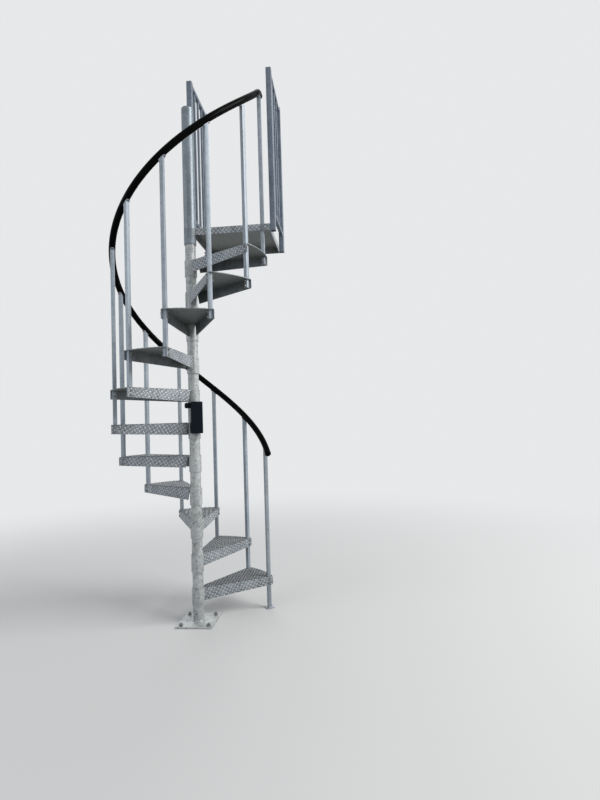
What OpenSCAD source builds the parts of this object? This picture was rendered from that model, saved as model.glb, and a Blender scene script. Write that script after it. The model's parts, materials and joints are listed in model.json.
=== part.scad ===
// Steel spiral staircase with eleven wedge treads, a square top landing,
// a round centre pole, a coiled handrail and two landing guard panels.
// Millimetres. Z is up, the pole axis is Z, the floor is z = 0.
// The front edge of the landing runs along +X and the landing reaches to +Y.

/* [Stair] */
// Height from one tread top to the next
riser = 228.6; // [215:0.1:240]
// Turn from one tread to the next, in degrees
step_angle = 30; // [28.5:0.5:30.5]
// Radius of the curved outer edge of a tread
tread_r = 547; // [520:1:640]
// Distance in from the outer edge to the middle of a baluster
baluster_inset = 26; // [20:1:40]
// Thickness of the folded tread and landing plate
plate_t = 4; // [3:0.5:6]
// Depth of a folded tread flange where it meets the hub
flange_hub = 85; // [70:1:100]
// Depth of a folded tread flange at its outer end
flange_tip = 60; // [50:1:75]
// Outer radius of the folded edges
bend_r = 6; // [5:0.5:9]
// Gap between hub and back flange just under the fold
relief_top = 4; // [2:1:10]
// Gap between hub and back flange at its lower edge
relief_low = 22; // [12:1:35]

/* [Pole and hubs] */
// Outside diameter of the centre pole
pole_d = 73; // [60:1:76]
// Wall of the centre pole
pole_wall = 5; // [3:0.5:8]
// Outside diameter of a tread hub and of the newel sleeve
hub_d = 85; // [82:1:100]
// Length of a tread hub below the tread top
hub_len = 114; // [100:1:130]
// Radial clearance of a hub on the pole
hub_gap = 0.3; // [0.2:0.05:0.5]
// Diameter of the set screw holes in a hub
screw_d = 9; // [6:0.5:12]
// Side of the square base plate
base_w = 250; // [220:1:320]
// Thickness of the base plate
base_t = 10; // [8:0.5:16]
// Distance between base plate bolt holes
base_pitch = 190; // [160:1:200]
// Diameter of the base plate bolt holes
base_hole = 14; // [10:0.5:18]

/* [Balusters and handrail] */
// Side of a square baluster tube
baluster_w = 25.4; // [22:0.2:30]
// Wall of a baluster tube
baluster_wall = 2; // [1.5:0.1:4]
// How far a baluster reaches below the lower tread top
baluster_drop = 57; // [45:1:75]
// Height of the handrail underside over the tread top at a baluster
rail_under = 928; // [880:1:1000]
// Outside diameter of the handrail
rail_d = 44; // [38:1:56]
// Length of the rounded plate that holds the handrail on a baluster
tab_len = 58; // [50:1:70]
// How far the handrail runs on past the first and last balusters, in degrees
rail_over = 7; // [4:0.5:9]
// Last part of the handrail, over which it levels out, in degrees
rail_level = 9; // [7:0.5:12]

/* [Landing and guards] */
// How far the outer side of the landing lies beyond the edge of the treads
land_out = 31; // [20:1:60]
// Distance from the pole axis to the deck side of the landing
land_back = 473; // [440:1:560]
// Depth of the landing edge
land_edge = 49; // [44:1:64]
// Side of a square guard post
post_w = 38; // [32:0.5:42]
// Wall of a guard post
post_wall = 3; // [2:0.5:4]
// Height of the guards over the landing
guard_h = 1117; // [1050:1:1180]
// Side of the square guard rails
guard_rail = 25.4; // [20:0.2:30]
// Side of the square upright guard bars
guard_bar = 16; // [12:0.5:20]
// Number of upright bars between two guard posts
guard_bars = 3; // [3:1:5]
// Height of the lower guard rail over the landing
guard_low = 82; // [60:1:120]
// Distance between the bolt holes in the deck side of the landing
land_pitch = 340; // [240:5:400]
// Height of the newel sleeve over the landing
newel_h = 868; // [820:1:940]
// Distance of the landing's set screws below its top
land_screw = 70; // [60:1:90]
// Side of the square foot under the first baluster
foot_w = 60; // [50:1:80]

/* [Pole box] */
// Width of the small box on the pole
box_w = 82; // [70:1:90]
// Height of the small box on the pole
box_h = 219; // [180:1:240]
// Depth of the small box on the pole
box_depth = 46; // [30:1:60]
// Height of the bottom of the box over the floor
box_z = 1296; // [1270:1:1320]
// Direction of the box from the pole, in degrees from +X
box_dir = 289; // [270:1:310]
// Reach of the rounded lug beside the box
lug_w = 34; // [20:1:40]
// Height of the rounded lug beside the box
lug_h = 38; // [28:1:50]

/* [Hidden] */
$fn = 96;

treads = 11;
land_z = (treads + 1) * riser;
land_w = tread_r + land_out;
baluster_r = tread_r - baluster_inset;
seat = 0.4;
hole_gap = 1;
edge = baluster_w / 2 + plate_t + seat;
hub_bore = pole_d + 2 * hub_gap;
pole_r = pole_d / 2;
hub_r = hub_d / 2;
pole_top = land_z + newel_h;
side_x = edge + plate_t;
set_angles = [140, 220];
set_drop = 33;

// handrail helix: height gained per degree, and its slope
rise_deg = riser / step_angle;
rail_r = baluster_r;
slope = atan2(riser, rail_r * step_angle * PI / 180);
rail_mid = rail_under + (rail_d / 2) / cos(slope);
rail_a0 = step_angle - rail_over;
rail_a1 = (treads + 1) * step_angle + rail_over * 0.5;
rail_bend = rail_a1 - rail_level;

steel = [0.72, 0.74, 0.76];
dark = [0.09, 0.10, 0.12];
vinyl = [0.05, 0.05, 0.055];

function wedge_dir(a) = [cos(a), sin(a)];
function side_dir(a) = [-sin(a), cos(a)];

// plan of a tread between its two folded edges, drawn in by inset
module wedge_plan(inset, reach) {
    u = wedge_dir(step_angle);
    n = side_dir(step_angle);
    polygon([[0, -edge + inset], [reach, -edge + inset],
        u * reach + n * (edge - inset), n * (edge - inset)]);
}

// what rounds a folded edge that runs along +X with its outer face at y = 0
module fold_cut(x0, x1) {
    translate([x0, 0, 0])
        rotate([90, 0, 90])
            linear_extrude(x1 - x0)
                difference() {
                    translate([-1, -bend_r])
                        square([bend_r + 1, bend_r + 1]);
                    translate([bend_r, -bend_r])
                        circle(bend_r + 0.1);
                }
}

// what lies below the sloped lower edges of the two flanges
module flange_slope() {
    fall = (flange_hub - flange_tip) / (tread_r - hub_r);
    far = tread_r + 20;
    low = -flange_hub - 5;
    rotate_extrude()
        polygon([[0, low], [far, low], [far, -flange_tip + fall * 20],
            [hub_r - 3, -flange_hub - fall * 3], [0, -flange_hub - fall * 3]]);
}

// slanted clearance between the back flange and the hub
module back_relief() {
    top = -plate_t - bend_r;
    translate([0, edge + 1, 0])
        rotate([90, 0, 0])
            linear_extrude(plate_t + 2)
                polygon([[20, top], [hub_r + relief_top, top],
                    [hub_r + relief_low, -flange_hub - 2], [20, -flange_hub - 2]]);
}

// folded sheet of one tread, without its hub
module tread_sheet() {
    reach = tread_r / cos(step_angle / 2) + edge;
    difference() {
        intersection() {
            translate([0, 0, -flange_hub])
                linear_extrude(flange_hub)
                    wedge_plan(0, reach);
            translate([0, 0, -flange_hub - 1])
                cylinder(r = tread_r, h = flange_hub + 2, $fn = 256);
        }
        translate([0, 0, -flange_hub - 1])
            linear_extrude(flange_hub + 1 - plate_t)
                wedge_plan(plate_t, reach + 40);
        flange_slope();
        translate([0, -edge, 0])
            fold_cut(0, reach);
        rotate([0, 0, step_angle]) {
            translate([0, edge, 0])
                mirror([0, 1, 0])
                    fold_cut(0, reach);
            back_relief();
        }
    }
}

module baluster_hole() {
    w = baluster_w + 2 * hole_gap;
    translate([baluster_r - w / 2, -w / 2, -plate_t - bend_r - 1])
        cube([w, w, plate_t + bend_r + 2]);
}

module hub_bore_cut(z0, z1) {
    translate([0, 0, z0])
        cylinder(d = hub_bore, h = z1 - z0);
}

module set_screw_holes(drop) {
    for (a = set_angles)
        rotate([0, 0, a])
            translate([0, 0, -drop])
                rotate([0, 90, 0])
                    cylinder(d = screw_d, h = hub_r + 5, $fn = 48);
}

// one tread: its top is z = 0 and its nosing baluster lies on the +X axis
module tread_body() {
    difference() {
        union() {
            tread_sheet();
            translate([0, 0, -hub_len])
                cylinder(r = hub_r, h = hub_len);
        }
        hub_bore_cut(-hub_len - 1, 1);
        baluster_hole();
        rotate([0, 0, step_angle])
            baluster_hole();
        set_screw_holes(set_drop);
    }
}

module tread(i) {
    color(steel)
        translate([0, 0, i * riser])
            rotate([0, 0, i * step_angle])
                tread_body();
}

// square baluster tube with a sloped top plate under the handrail
module baluster(i) {
    pitch = rail_pitch(i * step_angle);
    z_top = rail_height(i * step_angle) - (rail_d / 2) / cos(pitch);
    z_low = i == 1 ? 0 : (i - 1) * riser - baluster_drop;
    w = baluster_w;
    inner = w - 2 * baluster_wall;
    drop = (w / 2) * tan(pitch) + baluster_wall;
    color(steel)
        rotate([0, 0, i * step_angle])
            translate([baluster_r, 0, 0]) {
                difference() {
                    translate([-w / 2, -w / 2, z_low])
                        cube([w, w, z_top - z_low + w]);
                    translate([-inner / 2, -inner / 2, z_low - 1])
                        cube([inner, inner, z_top - z_low - drop - 20]);
                    translate([0, 0, z_top - plate_t / 2 / cos(pitch)])
                        rotate([pitch, 0, 0])
                            translate([-w, -2 * w, 0])
                                cube([2 * w, 4 * w, 3 * w]);
                }
                translate([0, 0, z_top])
                    rotate([pitch, 0, 0])
                        rail_tab();
                if (i == 1)
                    baluster_foot();
            }
}

// rounded plate that carries the handrail, its upper face at z = 0
module rail_tab() {
    r = baluster_w / 2 + 1;
    translate([0, 0, -plate_t])
        linear_extrude(plate_t)
            union() {
                translate([-r, r - tab_len / 2])
                    square([2 * r, tab_len - 2 * r]);
                for (s = [-1, 1])
                    translate([0, s * (tab_len / 2 - r)])
                        circle(r, $fn = 48);
            }
}

module baluster_foot() {
    difference() {
        translate([-foot_w / 2, -foot_w / 2, 0])
            cube([foot_w, foot_w, 5]);
        for (s = [-1, 1])
            translate([s * (foot_w / 2 - 9), s * (foot_w / 2 - 9), -1])
                cylinder(d = 7, h = 7, $fn = 48);
    }
}

// points of the handrail sweep: a helix that levels out over its last part
rail_sides = 14;
rail_rings = 84;
end_rings = 6;
rail_angles = concat(
    [for (i = [0 : rail_rings]) rail_a0 + (rail_bend - rail_a0) * i / rail_rings],
    [for (i = [1 : end_rings]) rail_bend + rail_level * i / end_rings]);

function rail_run(a) = max(0, a - rail_bend);
function rail_height(a) = rise_deg * (a - pow(rail_run(a), 2) / (2 * rail_level)) + rail_mid;
function rail_pitch(a) = atan2(rise_deg * (1 - rail_run(a) / rail_level), rail_r * PI / 180);
function rail_point(a) = [rail_r * cos(a), rail_r * sin(a), rail_height(a)];
function rail_ring(a) =
    let (p = rail_point(a), out = [cos(a), sin(a), 0], tip = rail_pitch(a),
        up = [sin(a) * sin(tip), -cos(a) * sin(tip), cos(tip)])
    [for (k = [0 : rail_sides - 1])
        let (t = (k + 0.5) * 360 / rail_sides)
        p + (out * sin(t) - up * cos(t)) * (rail_d / 2) / cos(180 / rail_sides)];

module handrail() {
    n = rail_sides;
    m = len(rail_angles) - 1;
    pts = [for (a = rail_angles) each rail_ring(a)];
    faces = concat(
        [[for (k = [0 : n - 1]) n - 1 - k]],
        [for (i = [0 : m - 1]) for (k = [0 : n - 1])
            [i * n + k, i * n + (k + 1) % n, (i + 1) * n + (k + 1) % n]],
        [for (i = [0 : m - 1]) for (k = [0 : n - 1])
            [i * n + k, (i + 1) * n + (k + 1) % n, (i + 1) * n + k]],
        [[for (k = [0 : n - 1]) m * n + k]]);
    color(vinyl)
        polyhedron(points = pts, faces = faces, convexity = 10);
}

// domed plug on one end of the handrail
module rail_cap(a, s) {
    r = rail_d / 2 + 1;
    dome = 14;
    p = rail_point(a);
    color(vinyl)
        translate(p)
            rotate([0, 0, a])
                rotate([rail_pitch(a), 0, 0])
                    rotate([s > 0 ? -90 : 90, 0, 0])
                        rotate_extrude()
                            union() {
                                square([r, 6]);
                                translate([0, 6])
                                    square([r - dome, dome]);
                                translate([r - dome, 6])
                                    intersection() {
                                        circle(dome);
                                        square(dome);
                                    }
                            }
}

module centre_pole() {
    color(steel)
        difference() {
            translate([0, 0, base_t])
                cylinder(d = pole_d, h = pole_top - base_t);
            translate([0, 0, base_t - 1])
                cylinder(d = pole_d - 2 * pole_wall, h = pole_top - base_t + 2);
        }
}

module base_plate() {
    color(steel)
        difference() {
            translate([-base_w / 2, -base_w / 2, 0])
                cube([base_w, base_w, base_t]);
            for (x = [-1, 1])
                for (y = [-1, 1])
                    translate([x * base_pitch / 2, y * base_pitch / 2, -1])
                        cylinder(d = base_hole, h = base_t + 2, $fn = 48);
        }
}

module newel_sleeve() {
    color(steel)
        difference() {
            translate([0, 0, land_z])
                cylinder(r = hub_r, h = newel_h);
            hub_bore_cut(land_z - 1, pole_top + 1);
        }
}

module pole_cap() {
    color(steel)
        translate([0, 0, pole_top])
            rotate_extrude()
                union() {
                    square([hub_r, 4]);
                    translate([0, 4])
                        square([hub_r - 8, 8]);
                    translate([hub_r - 8, 4])
                        intersection() {
                            circle(8);
                            square(8);
                        }
                }
}

module landing() {
    w = land_w - side_x;
    d = land_back + edge;
    t = plate_t;
    color(steel)
        translate([0, 0, land_z])
            difference() {
                union() {
                    difference() {
                        translate([side_x, -edge, -land_edge])
                            cube([w, d, land_edge]);
                        translate([side_x + t, -edge + t, -land_edge - 1])
                            cube([w - 2 * t, d - 2 * t, land_edge + 1 - t]);
                        translate([0, -edge, 0])
                            fold_cut(side_x - 5, land_w + 5);
                        translate([land_w, 0, 0])
                            rotate([0, 0, 90])
                                fold_cut(-edge - 5, land_back + 5);
                        translate([side_x, 0, 0])
                            rotate([0, 0, 90])
                                mirror([0, 1, 0])
                                    fold_cut(-edge - 5, land_back + 5);
                    }
                    translate([0, 0, -hub_len])
                        cylinder(r = hub_r, h = hub_len);
                }
                hub_bore_cut(-hub_len - 1, 1);
                baluster_hole();
                set_screw_holes(land_screw);
                for (s = [-0.5, 0.5])
                    translate([side_x + w / 2 + land_pitch * s, land_back + 1, -land_edge / 2])
                        rotate([90, 0, 0])
                            cylinder(d = 11, h = t + 2, $fn = 48);
            }
}

// guard panel in the plane x = 0, from y0 to y1, inner face towards +X
module guard_panel(y0, y1) {
    z0 = land_z - land_edge;
    z1 = land_z + guard_h;
    inner0 = y0 + post_w;
    inner1 = y1 - post_w;
    bay = (inner1 - inner0) / (guard_bars + 1);
    hollow = post_w - 2 * post_wall;
    for (y = [y0, inner1])
        difference() {
            translate([-post_w / 2, y, z0])
                cube([post_w, post_w, z1 - z0]);
            translate([-hollow / 2, y + post_wall, z0 - 1])
                cube([hollow, hollow, z1 - z0 - post_wall]);
        }
    for (z = [land_z + guard_low, z1 - guard_rail])
        translate([-guard_rail / 2, inner0 - 1, z])
            cube([guard_rail, inner1 - inner0 + 2, guard_rail]);
    for (k = [1 : guard_bars])
        translate([-guard_bar / 2, inner0 + bay * k - guard_bar / 2, land_z + guard_low + 5])
            cube([guard_bar, guard_bar, guard_h - guard_low - 10]);
}

module guard_left() {
    color(steel)
        translate([side_x - post_w / 2, 0, 0])
            guard_panel(hub_r + 0.5, land_back);
}

module guard_right() {
    color(steel)
        translate([land_w + post_w / 2, 0, 0])
            guard_panel(-edge, land_back);
}

// upright plan of the box, its back at x = 0 and its front corners rounded
module box_plan() {
    r = 6;
    translate([0, -box_w / 2])
        square([box_depth - r, box_w]);
    translate([0, -box_w / 2 + r])
        square([box_depth, box_w - 2 * r]);
    for (s = [-1, 1])
        translate([box_depth - r, s * (box_w / 2 - r)])
            circle(r, $fn = 48);
}

// rounded lug that stands out sideways from the upper back of the box
module box_lug() {
    r = 11;
    translate([0, -box_w / 2, box_z + box_h - lug_h - 7])
        rotate([90, 0, 90])
            linear_extrude(12)
                union() {
                    translate([r - lug_w, 0])
                        square([lug_w - r + 1, lug_h]);
                    translate([-lug_w, r])
                        square([r + 1, lug_h - 2 * r]);
                    for (y = [r, lug_h - r])
                        translate([r - lug_w, y])
                            circle(r, $fn = 48);
                }
}

// small dark box held on the pole by a saddle ring between two hubs
module pole_box() {
    face = hub_r + 0.5;
    gap_low = 6 * riser + 4;
    gap_high = 7 * riser - hub_len - 4;
    color(dark)
        rotate([0, 0, box_dir])
            difference() {
                union() {
                    translate([face, 0, box_z])
                        linear_extrude(box_h)
                            box_plan();
                    translate([face, 0, 0])
                        box_lug();
                    translate([0, 0, gap_low])
                        cylinder(r = pole_r + 5, h = gap_high - gap_low);
                    translate([pole_r, -20, gap_low])
                        cube([face - pole_r + 1, 40, gap_high - gap_low]);
                }
                translate([0, 0, gap_low - 1])
                    cylinder(r = pole_r + hub_gap, h = gap_high - gap_low + 2);
            }
}

base_plate();
centre_pole();
newel_sleeve();
pole_cap();
tread(1);  // tread_01
tread(2);  // tread_02
tread(3);  // tread_03
tread(4);  // tread_04
tread(5);  // tread_05
tread(6);  // tread_06
tread(7);  // tread_07
tread(8);  // tread_08
tread(9);  // tread_09
tread(10);  // tread_10
tread(11);  // tread_11
landing();
baluster(1);  // baluster_01
baluster(2);  // baluster_02
baluster(3);  // baluster_03
baluster(4);  // baluster_04
baluster(5);  // baluster_05
baluster(6);  // baluster_06
baluster(7);  // baluster_07
baluster(8);  // baluster_08
baluster(9);  // baluster_09
baluster(10);  // baluster_10
baluster(11);  // baluster_11
baluster(12);  // baluster_12
handrail();
rail_cap(rail_a0, -1);  // handrail_cap_bottom
rail_cap(rail_a1, 1);  // handrail_cap_top
guard_left();
guard_right();
pole_box();
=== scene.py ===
"""Looks of a galvanised spiral staircase: raised-pattern treads, welds, bolts, vinyl rail and finishes."""
import json
import math
import random

import bmesh
import bpy
from mathutils import Matrix, Vector

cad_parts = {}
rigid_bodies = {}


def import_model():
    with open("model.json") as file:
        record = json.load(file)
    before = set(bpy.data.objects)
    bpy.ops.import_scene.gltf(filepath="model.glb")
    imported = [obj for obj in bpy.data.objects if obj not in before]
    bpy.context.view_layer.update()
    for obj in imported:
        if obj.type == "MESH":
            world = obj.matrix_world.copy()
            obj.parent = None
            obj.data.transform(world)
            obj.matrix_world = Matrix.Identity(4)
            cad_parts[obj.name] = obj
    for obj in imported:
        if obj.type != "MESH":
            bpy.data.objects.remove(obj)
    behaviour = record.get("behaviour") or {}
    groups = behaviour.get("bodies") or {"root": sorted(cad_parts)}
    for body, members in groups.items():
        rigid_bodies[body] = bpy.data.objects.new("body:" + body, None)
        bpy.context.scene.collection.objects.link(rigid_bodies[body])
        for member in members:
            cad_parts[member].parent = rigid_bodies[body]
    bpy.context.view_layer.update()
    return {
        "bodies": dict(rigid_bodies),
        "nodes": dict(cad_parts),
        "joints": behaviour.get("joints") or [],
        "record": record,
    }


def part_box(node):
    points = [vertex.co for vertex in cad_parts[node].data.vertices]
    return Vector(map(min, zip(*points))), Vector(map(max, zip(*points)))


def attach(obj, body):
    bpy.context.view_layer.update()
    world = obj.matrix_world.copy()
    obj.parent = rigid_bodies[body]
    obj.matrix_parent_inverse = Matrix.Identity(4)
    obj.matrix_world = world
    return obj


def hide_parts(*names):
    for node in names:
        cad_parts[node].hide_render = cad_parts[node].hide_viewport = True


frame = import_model()
nodes = frame["nodes"]
rng = random.Random(12)

# Sizes of the stair in metres, read from the frame where it gives them; SEAT is the room that a
# baluster has in its hole, and HUB_GAP what guard and box keep from the radius of a hub
STEP = math.tau / 12
TREADS = 11
TREAD_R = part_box("tread_03")[1].y
HUB_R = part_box("newel_sleeve")[1].x
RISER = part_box("tread_02")[1].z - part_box("tread_01")[1].z
LAND_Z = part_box("landing")[1].z
LAND_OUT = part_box("landing")[1].x
LAND_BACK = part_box("landing")[1].y
LAND_EDGE = 0.049
POLE_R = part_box("centre_pole")[1].x
BASE_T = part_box("base_plate")[1].z
PLATE_T = 0.004
BEND_R = 0.006
TUBE = 0.0254
TUBE_INSET = 0.026
TUBE_R = TREAD_R - TUBE_INSET
SEAT = 0.0004
EDGE = TUBE / 2 + PLATE_T + SEAT
LAND_IN = EDGE + PLATE_T
FLANGE_HUB = 0.085
FLANGE_TIP = 0.060
HUB_LEN = 0.114
HUB_GAP = 0.0005
RELIEF_TOP = 0.004
RELIEF_LOW = 0.022
FOOT_T = 0.005

# Flat length of a bend, less the two legs that would meet in its sharp corner
BEND_EXTRA = BEND_R * (math.pi / 2 - 2)

# Handrail helix, and the steps of its sweep below and in the part that levels out
RAIL_R = TUBE_R
RAIL_D = 0.044
RAIL_UNDER = 0.928
SLOPE = math.atan2(RISER, RAIL_R * STEP)
RAIL_MID = RAIL_UNDER + RAIL_D / 2 / math.cos(SLOPE)
RAIL_START = STEP - math.radians(7)
RAIL_END = math.tau + math.radians(3.5)
RAIL_LEVEL = math.radians(9)
RAIL_BEND = RAIL_END - RAIL_LEVEL
CLIMB_STEPS = 168
LEVEL_STEPS = 10

# Raised lozenges of the plate; each of their two steps has its height and is that much shorter and
# narrower than what it stands on. Their rows are turned by up to SWAY at random on a tread, and stand
# at LAND_TURN and LAND_OFFSET on the landing
LOZENGE_L = 0.0262
LOZENGE_W = 0.0084
LOZENGE_H = 0.0017
LOZENGE_SINK = 0.0003
LOZENGE_POINT = 0.25
LOZENGE_STEPS = ((0.75, 0.883, 0.74), (1.0, 0.80, 0.42 / 0.74))
LOZENGE_PITCH = 0.0215
SWAY = 0.03
LAND_TURN = math.pi / 4 + 0.02
LAND_OFFSET = (0.3, 0.6)
EDGE_CLEAR = 0.0006
HUB_CLEAR = 0.002
SLIVER = 0.0008
TUBE_HOLE = TUBE / 2 + 0.0012
WASHER_HOLE = 0.0092

# A little more than the diagonal of a square with sides of 1
DIAGONAL = 1.5

# Decimals of a metre to which the corners of a template are rounded
DECIMALS = 7

# Fasteners: sizes of the tread bolts, set screws and rail screws, how much bigger or smaller the other
# bolts are than those of the treads, and where they all sit
WASHER_R = 0.0085
WASHER_T = 0.0016
HEX_R = 0.0072
HEX_BASE = 0.0015
HEAD_H = 0.0052
NUT_H = 0.0064
STUD_R = 0.0039
STUD_H = 0.0040
STUD_BASE = 0.0078
SOCKET_R = 0.0043
SOCKET_L = 0.0060
RECESS_WALL = 0.0013
RECESS_DEPTH = 0.0024
SCREW_R = 0.0048
SCREW_H = 0.0022
GUARD_BOLT = 1.1
DECK_BOLT = 1.4
ANCHOR_BOLT = 1.7
FOOT_BOLT = 0.85
BOLT_DROPS = (0.0145, 0.046)
LAND_BOLT_DROPS = (0.0145, 0.0365)
SET_ANGLES = (math.radians(140), math.radians(220))
SET_SEAT = 0.0008
SET_DROP = 0.033
LAND_SET_DROP = 0.070
DECK_PITCH = 0.340
ANCHOR = 0.095
FOOT_HOLE = 0.021
GUARD_BOLT_IN = 0.008
TAB_SCREW = 0.0225

# Weld beads: spacing of their ripples, how far these dip and wander, radii of the beads on a plate,
# under it, down a flange and round the base, where those down a flange start and end, how deep the
# one on a plate lies, and how far the others stand off what they join
BEAD_PITCH = 0.0028
BEAD_DIP = 0.84
BEAD_WANDER = 0.08
BEAD_TOP_R = 0.0021
BEAD_UNDER_R = 0.0030
BEAD_DOWN_R = 0.0026
BEAD_BASE_R = 0.0034
BEAD_START = 0.006
BEAD_END = 0.010
BEAD_LOW = 0.0009
UNDER_OFF = 0.0008
DOWN_OFF_HUB = 0.0004
DOWN_OFF_FLANGE = 0.0002
BASE_OFF = 0.0012
SIDE_BEADS = 14
BASE_BEADS = 80

# Fillet welds round a square tube: their legs, how deep they sit, and how far their rim is off the tube
FILLET = 0.0028
FOOT_FILLET = 0.004
FILLET_SINK = 0.0003
FILLET_RIM = 0.0002

# Small box on the pole, its lug and its band; the layers of the box are back shell, seam and front
# cover, each with inset, near side, far side, rounding and the steps of that. The lug starts
# LUG_BACK in front of the box's back and reaches LUG_ROOT into its side
BOX_DIR = math.radians(300)
BOX_TREAD = 6
BOX_W = 0.082
BOX_H = 0.219
BOX_DEPTH = 0.046
BOX_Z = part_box("pole_box")[0].z
BOX_LAYERS = ((0.0006, 0.0, 0.0170, 0.0022, 2), (0.0024, 0.0160, 0.0200, 0.0, 2),
              (0.0, 0.0184, BOX_DEPTH, 0.0055, 5))
LUG_W = 0.034
LUG_H = 0.038
LUG_T = 0.012
LUG_DROP = 0.007
LUG_TIP = 0.011
LUG_BACK = 0.0004
LUG_ROOT = 0.004
BAND_GAP = 0.0003
BAND_T = 0.005
BAND_CLEAR = 0.004
SADDLE_W = 0.040
SADDLE_OUT = 0.0025

# Rolled corners of the square tubes, which are only on edges longer than LONG_EDGE
TUBE_ROUND = 0.0022
POST_ROUND = 0.0024
LONG_EDGE = 0.060

# Guards of the landing
POST = 0.038
GUARD_RAIL = 0.0254
GUARD_BAR = 0.016
GUARD_BARS = 3
GUARD_LOW = 0.082
GUARD_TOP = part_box("guard_left")[1].z


# Mesh helpers

def place(angle, z):
    """Frame of a step: turned about the pole and lifted."""
    return Matrix.Translation((0, 0, z)) @ Matrix.Rotation(angle, 4, "Z")


def facing(point, outward):
    """Frame at a point whose +Z looks along outward."""
    turn = Vector((0, 0, 1)).rotation_difference(Vector(outward)).to_matrix().to_4x4()
    return Matrix.Translation(point) @ turn


def around(angle, radius, z):
    """Frame on a circle about the pole, +Z along the circle."""
    return place(angle, z) @ Matrix.Translation((radius, 0, 0)) @ Matrix.Rotation(-math.pi / 2, 4, "X")


def to_mesh(name, bm):
    """Mesh of a bmesh, which is freed."""
    mesh = bpy.data.meshes.new(name)
    bm.to_mesh(mesh)
    bm.free()
    return mesh


def add_object(name, data):
    """Object in the scene with a mesh, lamp or camera as its data."""
    made = bpy.data.objects.new(name, data)
    bpy.context.scene.collection.objects.link(made)
    return made


def template(build, name):
    """A small mesh built once, to be set down many times. Extrusions and bevels give corners and faces
    another order on each run, so both are put in order here."""
    bm = bmesh.new()
    build(bm)
    bmesh.ops.recalc_face_normals(bm, faces=bm.faces)
    spots = [tuple(round(part, DECIMALS) for part in v.co) for v in bm.verts]
    rank = {spot: k for k, spot in enumerate(sorted(spots))}
    assert len(rank) == len(spots)
    bm.verts.index_update()
    faces = []
    for face in bm.faces:
        ring = [rank[spots[v.index]] for v in face.verts]
        first = ring.index(min(ring))
        faces.append(ring[first:] + ring[:first])
    bm.free()
    mesh = bpy.data.meshes.new(name)
    mesh.from_pydata(list(rank), [], sorted(faces))
    return mesh


def set_down(bm, mesh, matrix):
    """Adds one copy of a template to bm, moved by matrix."""
    first = len(bm.verts)
    bm.from_mesh(mesh)
    bm.verts.ensure_lookup_table()
    bmesh.ops.transform(bm, matrix=matrix, verts=bm.verts[first:])


def finish_piece(name, bm, material, replaced=(), sharp=35):
    """Makes a piece of the bmesh, with smooth faces and sharp corners, and rides it on the stair."""
    bmesh.ops.recalc_face_normals(bm, faces=bm.faces)
    for face in bm.faces:
        face.smooth = True
    mesh = to_mesh(name, bm)
    mesh.set_sharp_from_angle(angle=math.radians(sharp))
    mesh.materials.append(material)
    piece = add_object(name, mesh)
    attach(piece, "root")
    if replaced:
        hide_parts(*replaced)


def edges_at(verts):
    """Edges at some corners, each once. A set would put them in another order on each run."""
    return list(dict.fromkeys(e for v in verts for e in v.link_edges))


def soften(bm, edges, offset, segments=2):
    """Rounds edges off."""
    bmesh.ops.bevel(bm, geom=edges, offset=offset, offset_type="OFFSET", segments=segments,
                    profile=0.5, affect="EDGES", material=-1)


def cut_off(bm, point, outward):
    """Cuts off what lies past a plane and closes the cut."""
    cut = bmesh.ops.bisect_plane(bm, geom=[*bm.verts, *bm.edges, *bm.faces], dist=1e-7,
                                 plane_co=point, plane_no=outward, clear_outer=True)
    rim = [g for g in cut["geom_cut"] if isinstance(g, bmesh.types.BMEdge)]
    bmesh.ops.holes_fill(bm, edges=rim, sides=0)


def disc(bm, radius, height, segments, bevel, base=0.0):
    """Upright cylinder standing on base, with its top rim rounded."""
    made = bmesh.ops.create_cone(bm, cap_ends=True, segments=segments, radius1=radius, radius2=radius,
                                 depth=height, matrix=Matrix.Translation((0, 0, base + height / 2)))
    rim = [e for e in edges_at(made["verts"]) if all(v.co.z > base + height - 1e-6 for v in e.verts)]
    soften(bm, rim, bevel)


def block(bm, low, high, bevel=0.0, segments=2):
    """Box between two corners, with all its edges rounded."""
    low, high = Vector(low), Vector(high)
    matrix = Matrix.Translation((low + high) / 2) @ Matrix.Diagonal((*(high - low), 1))
    made = bmesh.ops.create_cube(bm, size=1, matrix=matrix)
    if bevel:
        soften(bm, edges_at(made["verts"]), bevel, segments)


def sweep(bm, frames, radius, segments=6, closed=False):
    """Round bar through a row of frames whose +Z looks along it, filled at its ends or joined to a ring."""
    made = bmesh.ops.create_circle(bm, cap_ends=False, segments=segments, radius=radius, matrix=frames[0])
    ring = edges_at(made["verts"])
    first = ring
    swept = list(made["verts"])
    for before, after in zip(frames, frames[1:]):
        grown = bmesh.ops.extrude_edge_only(bm, edges=ring)["geom"]
        verts = [g for g in grown if isinstance(g, bmesh.types.BMVert)]
        ring = [g for g in grown
                if isinstance(g, bmesh.types.BMEdge) and all(v in verts for v in g.verts)]
        bmesh.ops.transform(bm, matrix=after @ before.inverted(), verts=verts)
        swept += verts
    if closed:
        bmesh.ops.remove_doubles(bm, verts=swept, dist=1e-6)
    else:
        bmesh.ops.edgeloop_fill(bm, edges=first)
        bmesh.ops.edgeloop_fill(bm, edges=ring)


def lathe(bm, outline, steps, closed=False):
    """Turns an outline of (radius, height) points round Z; a closed one is joined to a loop first."""
    verts = [bm.verts.new((radius, 0, height)) for radius, height in outline]
    edges = [bm.edges.new(pair) for pair in zip(verts, verts[1:])]
    if closed:
        edges.append(bm.edges.new((verts[-1], verts[0])))
    bmesh.ops.spin(bm, geom=verts + edges, cent=(0, 0, 0), axis=(0, 0, 1), angle=math.tau, steps=steps,
                   use_merge=True, use_duplicate=False)
    bmesh.ops.remove_doubles(bm, verts=bm.verts, dist=1e-6)


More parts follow.
